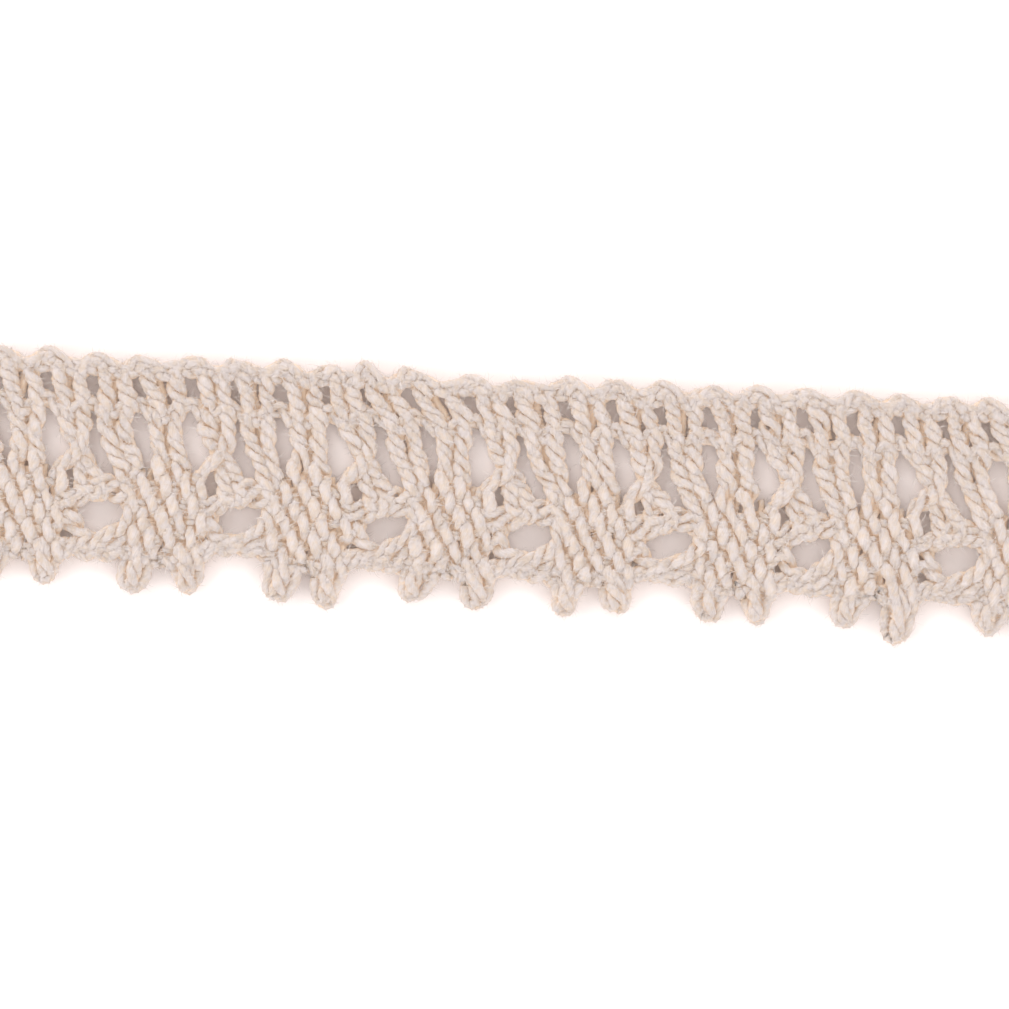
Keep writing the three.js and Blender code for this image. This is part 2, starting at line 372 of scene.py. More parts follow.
def smooth_rows(rows, closed=False):
    """A smooth curve through the rows, sampled at even steps along its length."""
    knots = np.array(rows, dtype=float)
    spans = np.linalg.norm(np.diff(knots[:, :2], axis=0), axis=1)
    knot_at = np.concatenate([[0], np.cumsum(np.sqrt(spans))])
    fine_at = np.linspace(0, knot_at[-1], FINE_SAMPLES * len(rows))
    slopes = np.gradient(knots, knot_at, axis=0)
    if closed:
        join = knots[1] - knots[0] + knots[-1] - knots[-2]
        join = join / (knot_at[1] + knot_at[-1] - knot_at[-2])
        slopes[0] = join
        slopes[-1] = join
    span = np.clip(np.searchsorted(knot_at, fine_at, side="right") - 1, 0, len(rows) - 2)
    width = (knot_at[span + 1] - knot_at[span])[:, None]
    share = (fine_at[:, None] - knot_at[span][:, None]) / width
    a, b, c, d = knots[span], slopes[span] * width, knots[span + 1], slopes[span + 1] * width
    fine = (2 * share**3 - 3 * share**2 + 1) * a + (share**3 - 2 * share**2 + share) * b
    fine = fine + (-2 * share**3 + 3 * share**2) * c + (share**3 - share**2) * d
    length = np.concatenate([[0], np.cumsum(np.linalg.norm(np.diff(fine[:, :2], axis=0), axis=1))])
    count = max(FEWEST_SAMPLES, int(length[-1] / SAMPLE_STEP))
    even = np.linspace(0, length[-1], count)
    return np.stack([np.interp(even, length, fine[:, i]) for i in range(fine.shape[1])], axis=1)


def pair_of_yarns(rows, tightness, across=False, closed=False):
    """The yarns of a pair: two that twist and weave and, unless it runs across, a core yarn."""
    route = smooth_rows(rows, closed)
    along, down, twists, cloth, lift = route.T
    cloth = np.clip(cloth, 0, 1)
    ahead = np.gradient(route[:, :2] * [1, -1], axis=0)
    ahead = ahead / np.linalg.norm(ahead, axis=1)[:, None]
    side = np.stack([ahead[:, 1], -ahead[:, 0]], axis=1)
    turn = math.pi / 2 + math.pi * twists * tightness
    open_spread, open_radius = (WEFT_SPREAD, WEFT_RADIUS) if across else (COLUMN_PITCH / 2, COLUMN_RADIUS)
    spread = PAIR_SPREAD + (open_spread - PAIR_SPREAD) * cloth
    cord_radius = WORKER_RADIUS if across else YARN_RADIUS
    opposite = math.pi if across else 2 * math.pi / 3 + math.pi / 3 * cloth
    yarns = []
    for which in (0, 1):
        angle = turn + opposite * which
        sideways = -np.sin(angle) * spread
        x = along + side[:, 0] * sideways
        y = down - side[:, 1] * sideways
        woven = cloth * (1 - eased(y, *WEAVE_ENDS))
        if across:
            weft = np.round((y - FIRST_WEFT) / WEFT_PITCH)
            weave = -np.cos(math.pi * (weft + (x / COLUMN_PITCH - 0.5)))
        else:
            column = np.round(x / COLUMN_PITCH - 0.5)
            step = (y - FIRST_WEFT) / WEFT_PITCH + column
            past = (step - 1) / 2 - np.round((step - 1) / 2)
            weave = 1 - 2 * np.exp(-((past * 2 * WEFT_PITCH / DIP_LENGTH) ** 2))
            x = x + WEAVE_LEAN * np.sin(math.pi * step) * woven
        rise = np.cos(angle) * PAIR_RISE * (1 - cloth) + weave * WEAVE_RISE * woven
        pinch = LEAF_SWELL if across else DIP_PINCH
        leaf = 1 + LEAF_SWELL * np.cos(angle) * (1 - cloth) + pinch * (weave - PINCH_MIDDLE) * woven
        radius = (cord_radius + (open_radius - cord_radius) * cloth) * leaf
        height = np.maximum(PAIR_HEIGHT + rise + lift, radius + LOWEST_GAP)
        yarns.append(Yarn(np.stack([x, y, height], axis=1), radius))
    if not across:
        angle = turn + 4 * math.pi / 3
        sideways = -np.sin(angle) * PAIR_SPREAD * (1 - cloth)
        radius = CORE_RADIUS * (1 + LEAF_SWELL * np.cos(angle) * (1 - cloth))
        height = PAIR_HEIGHT + (CORE_HEIGHT - PAIR_HEIGHT) * cloth
        height = height + (np.cos(angle) * PAIR_RISE + lift) * (1 - cloth)
        height = np.maximum(height, radius + LOWEST_GAP)
        core = np.stack([along + side[:, 0] * sideways, down - side[:, 1] * sideways, height], axis=1)
        yarns.append(Yarn(core, radius))
    return yarns


# How a yarn is spun: the sides of its section, how deep the two plies part and how fast they turn
YARN_SIDES = 10
PLY_DEPTH = 0.06
PLY_LENGTH = 1.7


def add_node(tree, kind, **settings):
    """A new node in a tree, with its settings."""
    node = tree.nodes.new(kind)
    for setting, value in settings.items():
        setattr(node, setting, value)
    return node


def spinning_tree():
    """Sweeps a two-ply section along every route and twists it as it goes."""
    tree = bpy.data.node_groups.new("spin_yarn", "GeometryNodeTree")
    sockets = {}
    for name, kind in (("Routes", "Geometry"), ("Sides", "Int"), ("Ply Depth", "Float"),
                       ("Ply Length", "Float"), ("Cotton", "Material")):
        socket = tree.interface.new_socket(name, in_out="INPUT", socket_type=f"NodeSocket{kind}")
        sockets[name] = socket.identifier
    tree.interface.new_socket("Yarn", in_out="OUTPUT", socket_type="NodeSocketGeometry")

    # The routes become curves that remember their length and turn once for each ply length
    given = add_node(tree, "NodeGroupInput")
    to_curve = add_node(tree, "GeometryNodeMeshToCurve")
    length = add_node(tree, "GeometryNodeSplineParameter")
    keep_length = add_node(tree, "GeometryNodeStoreNamedAttribute", data_type="FLOAT", domain="POINT")
    keep_length.inputs["Name"].default_value = "along"
    turns = add_node(tree, "ShaderNodeMath", operation="DIVIDE")
    tilt_angle = add_node(tree, "ShaderNodeMath", operation="MULTIPLY")
    tilt_angle.inputs[1].default_value = 2 * math.pi
    tilt = add_node(tree, "GeometryNodeSetCurveTilt")
    tree.links.new(given.outputs["Routes"], to_curve.inputs["Mesh"])
    tree.links.new(to_curve.outputs["Curve"], keep_length.inputs["Geometry"])
    tree.links.new(length.outputs["Length"], keep_length.inputs["Value"])
    tree.links.new(keep_length.outputs["Geometry"], tilt.inputs["Curve"])
    tree.links.new(length.outputs["Length"], turns.inputs[0])
    tree.links.new(given.outputs["Ply Length"], turns.inputs[1])
    tree.links.new(turns.outputs[0], tilt_angle.inputs[0])
    tree.links.new(tilt_angle.outputs[0], tilt.inputs["Tilt"])

    # The section is a circle of radius 1, drawn in on both sides where the two plies meet
    circle = add_node(tree, "GeometryNodeCurvePrimitiveCircle")
    circle.inputs["Radius"].default_value = 1.0
    place = add_node(tree, "GeometryNodeInputPosition")
    parts = add_node(tree, "ShaderNodeSeparateXYZ")
    angle = add_node(tree, "ShaderNodeMath", operation="ARCTAN2")
    double = add_node(tree, "ShaderNodeMath", operation="MULTIPLY")
    double.inputs[1].default_value = 2.0
    wave = add_node(tree, "ShaderNodeMath", operation="COSINE")
    depth = add_node(tree, "ShaderNodeMath", operation="MULTIPLY_ADD")
    depth.inputs[2].default_value = 1.0
    scaled = add_node(tree, "ShaderNodeVectorMath", operation="SCALE")
    section = add_node(tree, "GeometryNodeSetPosition")
    keep_section = add_node(tree, "GeometryNodeStoreNamedAttribute", domain="POINT",
                            data_type="FLOAT_VECTOR")
    keep_section.inputs["Name"].default_value = "section"
    tree.links.new(given.outputs["Sides"], circle.inputs["Resolution"])
    tree.links.new(place.outputs["Position"], parts.inputs[0])
    tree.links.new(parts.outputs["Y"], angle.inputs[0])
    tree.links.new(parts.outputs["X"], angle.inputs[1])
    tree.links.new(angle.outputs[0], double.inputs[0])
    tree.links.new(double.outputs[0], wave.inputs[0])
    tree.links.new(wave.outputs[0], depth.inputs[0])
    tree.links.new(given.outputs["Ply Depth"], depth.inputs[1])
    tree.links.new(place.outputs["Position"], scaled.inputs[0])
    tree.links.new(depth.outputs[0], scaled.inputs["Scale"])
    tree.links.new(circle.outputs["Curve"], section.inputs["Geometry"])
    tree.links.new(scaled.outputs["Vector"], section.inputs["Position"])
    tree.links.new(section.outputs["Geometry"], keep_section.inputs["Geometry"])
    tree.links.new(place.outputs["Position"], keep_section.inputs["Value"])

    # The section is swept along the curves at each point's own radius, with closed ends
    radius = add_node(tree, "GeometryNodeInputNamedAttribute")
    radius.inputs["Name"].default_value = "radius"
    sweep = add_node(tree, "GeometryNodeCurveToMesh")
    sweep.inputs["Fill Caps"].default_value = True
    smooth = add_node(tree, "GeometryNodeSetShadeSmooth")
    realize = add_node(tree, "GeometryNodeRealizeInstances")
    dress = add_node(tree, "GeometryNodeSetMaterial")
    result = add_node(tree, "NodeGroupOutput")
    tree.links.new(tilt.outputs["Curve"], sweep.inputs["Curve"])
    tree.links.new(keep_section.outputs["Geometry"], sweep.inputs["Profile Curve"])
    tree.links.new(radius.outputs["Attribute"], sweep.inputs["Scale"])
    tree.links.new(sweep.outputs["Mesh"], smooth.inputs["Geometry"])
    tree.links.new(smooth.outputs["Geometry"], realize.inputs["Geometry"])
    tree.links.new(realize.outputs["Geometry"], dress.inputs["Geometry"])
    tree.links.new(given.outputs["Cotton"], dress.inputs["Material"])
    tree.links.new(dress.outputs["Geometry"], result.inputs["Yarn"])
    return tree, sockets


# The cotton: cream with warmer patches, and a painted tan shade where other yarns hide it from the light
HIGH_COLOUR = (0.53, 0.468, 0.445, 1.0)
MOTTLE_COLOUR = (0.53, 0.42, 0.325, 1.0)
MOTTLE_SIZE = 0.45
MOTTLE_DETAIL = 2.0
MOTTLE_RANGE = (0.4, 0.65)
MOTTLE_SHARE = 0.7
# Painted shade: a tan laid into the colour where other yarns hide the cotton from the light. It is none up
# to the first share hidden below and full from the second.
PAINTED_SHADE_COLOUR = (0.58, 0.455, 0.35, 1.0)
NO_PAINTED_SHADE_TO = 0.15
FULL_PAINTED_SHADE_FROM = 0.72
COTTON_ROUGHNESS = 0.9
COTTON_SPECULAR = 0.1
COTTON_SHEEN = 0.12
SHEEN_ROUGHNESS = 0.6

# A painted glow: the cotton emits a little light of its own, standing in for light that soaks through it.
# It is stronger and warmer where other yarns hide it.
PAINTED_GLOW_DEEP = (1.0, 0.73, 0.54)
PAINTED_GLOW_OPEN = (0.3, 0.262, 0.24)
PAINTED_GLOW_STRENGTH = 0.22

# Its fibres, which wind round each yarn
FIBRE_WIDTH = 0.09
FIBRE_STRETCH = 0.09
FIBRE_TWIST = 2.2
FIBRE_DETAIL = 3.0
FIBRE_ROUGHNESS = 0.65
FIBRE_RANGE = (0.3, 0.7)
FIBRE_SHADE = (0.86, 1.08)
FIBRE_BUMP = 0.07


def fibre_group():
    """Fine fibres that wind round a yarn, from 0 in the grooves to 1 on the fibres."""
    tree = bpy.data.node_groups.new("wound_fibres", "ShaderNodeTree")
    tree.interface.new_socket("Fibre", in_out="OUTPUT", socket_type="NodeSocketFloat")
    result = add_node(tree, "NodeGroupOutput")
    section = add_node(tree, "ShaderNodeAttribute", attribute_name="section")
    along = add_node(tree, "ShaderNodeAttribute", attribute_name="along")
    turn = add_node(tree, "ShaderNodeMath", operation="MULTIPLY")
    turn.inputs[1].default_value = FIBRE_TWIST / MM
    spin = add_node(tree, "ShaderNodeVectorRotate", rotation_type="Z_AXIS")
    height = add_node(tree, "ShaderNodeMath", operation="MULTIPLY")
    height.inputs[1].default_value = FIBRE_STRETCH / MM
    split = add_node(tree, "ShaderNodeSeparateXYZ")
    join = add_node(tree, "ShaderNodeCombineXYZ")
    noise = add_node(tree, "ShaderNodeTexNoise")
    noise.inputs["Scale"].default_value = YARN_RADIUS / FIBRE_WIDTH
    noise.inputs["Detail"].default_value = FIBRE_DETAIL
    noise.inputs["Roughness"].default_value = FIBRE_ROUGHNESS
    tree.links.new(section.outputs["Vector"], spin.inputs["Vector"])
    tree.links.new(along.outputs["Fac"], turn.inputs[0])
    tree.links.new(turn.outputs[0], spin.inputs["Angle"])
    tree.links.new(spin.outputs["Vector"], split.inputs[0])
    tree.links.new(along.outputs["Fac"], height.inputs[0])
    tree.links.new(split.outputs["X"], join.inputs["X"])
    tree.links.new(split.outputs["Y"], join.inputs["Y"])
    tree.links.new(height.outputs[0], join.inputs["Z"])
    tree.links.new(join.outputs[0], noise.inputs["Vector"])
    tree.links.new(noise.outputs[0], result.inputs["Fibre"])
    return tree


def cotton_material():
    """Soft cream cotton, with painted tan shade and a painted warm glow deep between the yarns, and its
    fibres in low relief.
    """
    material, tree, shader = new_material("cream_cotton")
    shader.inputs["Roughness"].default_value = COTTON_ROUGHNESS
    shader.inputs["Specular IOR Level"].default_value = COTTON_SPECULAR
    shader.inputs["Sheen Weight"].default_value = COTTON_SHEEN
    shader.inputs["Sheen Roughness"].default_value = SHEEN_ROUGHNESS
    # The strength of the painted glow that the cotton emits
    shader.inputs["Emission Strength"].default_value = PAINTED_GLOW_STRENGTH

    # Patches of a darker, warmer cream
    place = add_node(tree, "ShaderNodeTexCoord")
    patches = add_node(tree, "ShaderNodeTexNoise")
    patches.inputs["Scale"].default_value = 1 / (MOTTLE_SIZE * MM)
    patches.inputs["Detail"].default_value = MOTTLE_DETAIL
    patchy = add_node(tree, "ShaderNodeMapRange")
    patchy.inputs["From Min"].default_value = MOTTLE_RANGE[0]
    patchy.inputs["From Max"].default_value = MOTTLE_RANGE[1]
    patchy.inputs["To Max"].default_value = MOTTLE_SHARE
    mottled = add_node(tree, "ShaderNodeMix", data_type="RGBA")
    mottled.inputs["A"].default_value = HIGH_COLOUR
    mottled.inputs["B"].default_value = MOTTLE_COLOUR
    tree.links.new(place.outputs["Object"], patches.inputs["Vector"])
    tree.links.new(patches.outputs[0], patchy.inputs["Value"])
    tree.links.new(patchy.outputs["Result"], mottled.inputs["Factor"])

    # Where other yarns hide a point it is painted tan as shade, and a painted glow, standing in for light
    # that soaks through the cotton, warms it
    buried = add_node(tree, "ShaderNodeAttribute", attribute_name="buried")
    depth = add_node(tree, "ShaderNodeMapRange", interpolation_type="SMOOTHSTEP")
    depth.inputs["From Min"].default_value = FULL_PAINTED_SHADE_FROM
    depth.inputs["From Max"].default_value = NO_PAINTED_SHADE_TO
    colour = add_node(tree, "ShaderNodeMix", data_type="RGBA")
    colour.inputs["A"].default_value = PAINTED_SHADE_COLOUR
    painted_glow = add_node(tree, "ShaderNodeMix", data_type="RGBA")
    painted_glow.inputs["A"].default_value = (*PAINTED_GLOW_DEEP, 1.0)
    painted_glow.inputs["B"].default_value = (*PAINTED_GLOW_OPEN, 1.0)
    tree.links.new(buried.outputs["Fac"], depth.inputs["Value"])
    tree.links.new(depth.outputs["Result"], colour.inputs["Factor"])
    tree.links.new(mottled.outputs["Result"], colour.inputs["B"])
    tree.links.new(depth.outputs["Result"], painted_glow.inputs["Factor"])
    tree.links.new(painted_glow.outputs["Result"], shader.inputs["Emission Color"])

    # The wound fibres streak the cotton's colour a little, darker in the grooves between them as painted
    # shade, and stand out from it in relief
    fibres = add_node(tree, "ShaderNodeGroup", node_tree=fibre_group())
    shade = add_node(tree, "ShaderNodeMapRange")
    shade.inputs["From Min"].default_value = FIBRE_RANGE[0]
    shade.inputs["From Max"].default_value = FIBRE_RANGE[1]
    shade.inputs["To Min"].default_value = FIBRE_SHADE[0]
    shade.inputs["To Max"].default_value = FIBRE_SHADE[1]
    shaded = add_node(tree, "ShaderNodeVectorMath", operation="SCALE")
    bump = add_node(tree, "ShaderNodeBump")
    bump.inputs["Distance"].default_value = FIBRE_BUMP * MM
    bump.inputs["Strength"].default_value = 1.0
    tree.links.new(fibres.outputs["Fibre"], shade.inputs["Value"])
    tree.links.new(colour.outputs["Result"], shaded.inputs[0])
    tree.links.new(shade.outputs["Result"], shaded.inputs["Scale"])
    tree.links.new(shaded.outputs["Vector"], shader.inputs["Base Color"])
    tree.links.new(fibres.outputs["Fibre"], bump.inputs["Height"])
    tree.links.new(bump.outputs["Normal"], shader.inputs["Normal"])
    return material


spin_tree, spin_inputs = spinning_tree()
cotton = cotton_material()

# Where the strip is cut at both ends, and the slow waves by which a yarn strays
CUT_ALLOWANCE = 0.5
CUT_LOW = -CUT_ALLOWANCE
CUT_HIGH = REPEATS * REPEAT + CUT_ALLOWANCE
FEWEST_ROUTE_POINTS = 10
SLACK_WAVES = (1.9, 3.3, 5.7, 9.1)
LEAST_WAVE = 0.5
WAVES_TOGETHER = 2
YARN_SEED = 27
random = np.random.default_rng(YARN_SEED)


def wander(places, amount):
    """A slow, uneven drift along a yarn."""
    total = np.zeros(len(places))
    for wave in SLACK_WAVES:
        share = math.sqrt(wave / SLACK_WAVES[-1]) * (LEAST_WAVE + random.random())
        total += share * np.sin(2 * math.pi * (places / wave + random.random()))
    return total * amount / WAVES_TOGETHER


def laid_runs(points, radius):
    """A yarn placed on the table, as the stretches of it between the two cut ends."""
    steps = np.linalg.norm(np.diff(points, axis=0), axis=1)
    length = np.concatenate([[0], np.cumsum(steps)])
    drift = [wander(length, amount) for amount in (SLACK, SLACK, SLACK_RISE)]
    points = points + np.stack(drift, axis=1)
    radius = radius * (1 + wander(length, SLUBS))
    points[:, 2] = np.maximum(points[:, 2], radius + LOWEST_GAP)
    inside = (points[:, 0] > CUT_LOW) & (points[:, 0] < CUT_HIGH)
    runs = []
    start = None
    for i, kept in enumerate(list(inside) + [False]):
        if kept and start is None:
            start = i
        elif not kept and start is not None:
            if i - start >= FEWEST_ROUTE_POINTS:
                part = points[start:i]
                runs.append((settled(part[:, 0], part[:, 1], part[:, 2]), radius[start:i]))
            start = None
    return runs


def spun(name, runs):
    """One piece of yarn mesh from the stretches of its routes."""
    points = np.concatenate([run[0] for run in runs])
    radii = np.concatenate([run[1] for run in runs]) * MM
    edges = []
    first = 0
    for run in runs:
        count = len(run[0])
        edges.extend((first + i, first + i + 1) for i in range(count - 1))
        first += count
    routes = add_mesh(name + "_routes", points, edges, [])
    attribute = routes.data.attributes.new("radius", "FLOAT", "POINT")
    attribute.data.foreach_set("value", radii)
    modifier = routes.modifiers.new("spin", "NODES")
    modifier.node_group = spin_tree
    modifier[spin_inputs["Sides"]] = YARN_SIDES
    modifier[spin_inputs["Ply Depth"]] = PLY_DEPTH
    modifier[spin_inputs["Ply Length"]] = PLY_LENGTH * MM
    modifier[spin_inputs["Cotton"]] = cotton
    depsgraph = bpy.context.evaluated_depsgraph_get()
    mesh = bpy.data.meshes.new_from_object(routes.evaluated_get(depsgraph))
    bpy.data.objects.remove(routes)
    piece = bpy.data.objects.new(name, mesh)
    bpy.context.scene.collection.objects.link(piece)
    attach(piece, "root")
    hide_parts("lace")
    return piece


def repeated(yarns):
    """Every repeat of a yarn that begins and ends within one repeat."""
    runs = []
    for repeat in range(-1, REPEATS + 1):
        for yarn in yarns:
            runs.extend(laid_runs(yarn.points + [repeat * REPEAT, 0, 0], yarn.radius))
    return runs


right_yarns = pair_of_yarns(RIGHT_ROUTE, RIGHT_TWIST)
right_pairs = spun("right_pairs", repeated(right_yarns[:2]))
right_cores = spun("right_cores", repeated(right_yarns[2:]))


# The pairs of the left half of each fan, of the same yarn. They go from the left point up to a
# scallop and back. Short twists fill both points, and single passive yarns lie low in between.
LEFT_TWIST = 4 / 3
FILL_TWIST = 1.0
LEFT_ROUTE = [
    Row(-2.49, 13.6, 0.0, 1, 0),
    Row(-2.49, 12.0, 0.0, 1, 0),
    Row(-2.55, 10.5, 0.0, 1, 0),
    Row(-2.8, 9.4, 0.3, 0.5, 0),
    Row(-3.1, 8.3, 0.8, 0, 0),
    Row(-3.6, 7.0, 1.5, 0, 0),
    Row(-3.85, 5.5, 2.2, 0, 0),
    Row(-3.72, 4.1, 2.9, 0, 0),
    Row(-4.12, 2.5, 3.7, 0, 0),
    Row(-4.25, 1.7, 4.1, 0, 0),
    Row(-3.98, 1.1, 4.4, 0, 0),
    Row(-3.5, 0.6, 4.7, 0, 0),
    Row(-2.75, 0.5, 5.1, 0, 0),
    Row(-2.15, 0.8, 5.4, 0, 0),
    Row(-2.12, 1.5, 5.7, 0, 0),
    Row(-1.88, 2.5, 6.3, 0, 0),
    Row(-1.35, 4.1, 7.1, 0, 0),
    Row(-1.25, 5.5, 7.8, 0, 0),
    Row(-1.0, 7.0, 8.5, 0, 0),
    Row(-0.9, 8.2, 9.0, 0.3, 0),
    Row(-0.83, 9.2, 9.0, 1, 0),
    Row(-0.83, 12.0, 9.0, 1, 0),
    Row(-0.83, 15.0, 9.0, 1, 0),
    Row(-1.3, 17.0, 9.0, 1, 0),
    Row(-1.72, 18.05, 9.0, 1, 0),
    Row(-1.9, 18.8, 9.1, 0.8, 0),
    Row(-2.08, 19.12, 9.2, 0.5, 0),
    Row(-2.37, 19.24, 9.375, 0.3, 0),
    Row(-2.66, 19.12, 9.55, 0.5, 0),
    Row(-2.8, 18.8, 9.65, 0.8, 0),
    Row(-2.82, 18.1, 9.75, 1, 0),
    Row(-2.68, 17.2, 9.75, 1, 0),
    Row(-2.49, 15.0, 9.75, 1, 0),
    Row(-2.49, 13.0, 9.75, 1, 0),
]

# Short stitches that fill the two points
RIGHT_POINT_FILL = [
    Row(1.75, 15.9, 0.0, 0, -0.1), Row(1.85, 16.9, 0.4, 0, 0.15), Row(1.95, 17.9, 0.8, 0, 0.3),
    Row(2.0, 18.7, 1.2, 0, 0.2), Row(2.0, 19.2, 1.5, 0, 0),
]
LEFT_POINT_FILL = [
    Row(-1.85, 15.9, 0.5, 0, -0.1), Row(-2.05, 16.9, 0.9, 0, 0.15), Row(-2.3, 17.9, 1.3, 0, 0.3),
    Row(-2.4, 18.7, 1.7, 0, 0.2), Row(-2.4, 19.15, 2.0, 0, 0),
]

# Passive yarns that lie low between the pairs: inside a fan, between two legs that run close
# together, and in the narrow slits of the scalloped edge
Place = namedtuple("Place", "along down")
PASSIVES = [
    [Place(-1.66, 9.4), Place(-1.66, 13.0), Place(-1.66, 16.6)],
    [Place(0.0, 9.4), Place(0.0, 13.0), Place(0.0, 16.6)],
    [Place(1.66, 9.4), Place(1.66, 13.0), Place(1.66, 16.6)],
    [Place(-0.7, 3.9), Place(-0.45, 5.5), Place(-0.3, 7.2), Place(0.0, 9.2)],
    [Place(3.2, 4.2), Place(3.7, 5.3), Place(4.0, 6.3), Place(4.2, 7.4)],
    [Place(7.15, 4.0), Place(7.35, 5.5), Place(7.7, 6.9), Place(8.15, 8.2), Place(8.55, 9.6)],
    [Place(3.0, 1.5), Place(2.98, 2.6), Place(3.1, 4.2)],
    [Place(7.0, 1.5), Place(7.0, 2.6), Place(7.05, 4.2)],
    [Place(11.0, 1.5), Place(11.0, 2.6), Place(11.2, 4.2)],
    [Place(4.9, 9.4), Place(5.2, 10.2), Place(5.5, 11.0)],
]
PASSIVE_HEIGHT = 0.42
PASSIVE_RADIUS = 0.33

left_yarns = pair_of_yarns(LEFT_ROUTE, LEFT_TWIST)
left_yarns += pair_of_yarns(RIGHT_POINT_FILL, FILL_TWIST) + pair_of_yarns(LEFT_POINT_FILL, FILL_TWIST)
for rows in PASSIVES:
    along, down = smooth_rows(rows).T
    points = np.stack([along, down, np.full(len(down), PASSIVE_HEIGHT)], axis=1)
    left_yarns.append(Yarn(points, np.full(len(down), PASSIVE_RADIUS)))
left_pairs = spun("left_pairs", repeated(left_yarns))


# The workers. These pairs weave through the fans from side to side and hold them together. From
# one fan to the next they run twisted, above the heart and below it.
WORKER_TWIST = 1.25
UPPER_WORKER = [
    Row(0, 10.77, 0.0, 1, 0), Row(2.4, 10.9, 0.0, 1, 0), Row(3.5, 11.9, 0.4, 0, 0),
    Row(4.6, 11.6, 1.0, 0, 0), Row(5.8, 10.9, 1.7, 0, 0), Row(7.0, 10.7, 2.4, 0, 0),
    Row(8.2, 10.9, 3.1, 0, 0), Row(9.3, 10.9, 4.0, 1, 0), Row(12, 10.77, 4.0, 1, 0),
]
LOWER_WORKER = [
    Row(0, 12.19, 0.0, 1, 0), Row(2.5, 12.35, 0.0, 1, 0), Row(3.7, 12.65, 0.4, 0, 0),
    Row(5.0, 12.05, 1.0, 0, 0), Row(6.2, 11.6, 1.7, 0, 0), Row(7.4, 11.65, 2.4, 0, 0),
    Row(8.4, 12.0, 3.1, 0, 0), Row(9.5, 12.25, 4.0, 1, 0), Row(12, 12.19, 4.0, 1, 0),
]
HEART_WORKER = [
    Row(0, 13.61, 0.0, 1, 0), Row(2.2, 13.4, 0.0, 1, 0), Row(3.3, 12.9, 0.5, 0, 0),
    Row(3.95, 13.2, 0.9, 0, 0), Row(4.2, 14.1, 1.4, 0, 0), Row(4.9, 14.95, 2.0, 0, 0),
    Row(6.0, 15.5, 2.6, 0, 0), Row(7.4, 15.6, 3.2, 0, 0), Row(9.0, 14.8, 4.0, 0.5, 0),
    Row(10.5, 13.9, 4.0, 1, 0), Row(12, 13.61, 4.0, 1, 0),
]
FOOT_WORKER = [
    Row(0, 15.03, 0.0, 1, 0), Row(2.2, 14.7, 0.0, 1, 0), Row(3.4, 14.1, 0.5, 0, 0),
    Row(4.5, 14.7, 1.0, 0, 0), Row(5.6, 15.6, 1.7, 0, 0), Row(6.8, 16.1, 2.4, 0, 0),
    Row(8.2, 16.0, 3.1, 0, 0), Row(9.6, 15.4, 4.0, 1, 0), Row(12, 15.03, 4.0, 1, 0),
]
TOE_WORKER = [
    Row(0, 16.45, 0.0, 1, 0), Row(2.2, 16.3, 0.0, 1, 0), Row(3.4, 16.15, 0.5, 0, 0),
    Row(4.5, 16.2, 1.0, 0, 0), Row(5.6, 16.4, 1.7, 0, 0), Row(6.8, 16.55, 2.4, 0, 0),
    Row(8.2, 16.6, 3.1, 0, 0), Row(9.6, 16.6, 4.0, 1, 0), Row(12, 16.45, 4.0, 1, 0),
]


def run_through(yarns):
    """Every yarn that runs on from repeat to repeat, as one length."""
    runs = []
    for yarn in yarns:
        whole = np.concatenate([yarn.points[:-1] + [k * REPEAT, 0, 0] for k in range(-1, REPEATS + 1)])
        runs.extend(laid_runs(whole, np.tile(yarn.radius[:-1], REPEATS + 2)))
    return runs


worker_yarns = []
for rows in (UPPER_WORKER, LOWER_WORKER, HEART_WORKER, FOOT_WORKER, TOE_WORKER):
    worker_yarns.extend(pair_of_yarns(rows, WORKER_TWIST, across=True, closed=True))
workers = spun("workers", run_through(worker_yarns))


# The lengthwise cords. A plait and a twisted pair follow the scallops, a plait crosses the legs
# as the heading, and one more runs through the feet of the fans. All run from end to end.
SCALLOP_RISE = 0.26
EDGE_PLAIT_DOWN = 1.12
EDGE_PAIR_RISE = 0.44
EDGE_PAIR_DOWN = 0.52
Plait = namedtuple("Plait", "strands twist_length spread rise radius middle rows")
EDGE_PLAIT = Plait(3, 4.0, 0.36, 0.3, 0.38, 0.86, [
    Place(at, EDGE_PLAIT_DOWN - SCALLOP_RISE * math.cos(2 * math.pi * (at - SCALLOP_AT) / SCALLOP))
    for at in range(int(REPEAT) + 1)
])
EDGE_PAIR = Plait(2, 4.0, 0.16, 0.3, 0.34, 0.92, [
    Place(at, EDGE_PAIR_DOWN - EDGE_PAIR_RISE * math.cos(2 * math.pi * (at - SCALLOP_AT) / SCALLOP))
    for at in range(int(REPEAT) + 1)
])
HEADING_PLAIT = Plait(3, 4.0, 0.42, 0.24, 0.36, 0.82, [
    Place(0, 4.5), Place(1.1, 3.8), Place(2.9, 4.9), Place(5.0, 3.9), Place(6.9, 4.9), Place(9.0, 3.9),
    Place(10.9, 4.9), Place(12, 4.5),
])
FOOT_PLAIT = Plait(3, 3.32, 0.4, 0.3, 0.38, 0.86, [
    Place(0, 16.85), Place(1.6, 17.1), Place(2.8, 16.35), Place(3.8, 16.2), Place(5.2, 16.35),
    Place(6.6, 16.35), Place(7.8, 16.2), Place(9.0, 16.4), Place(10.4, 17.1), Place(12, 16.85),
])


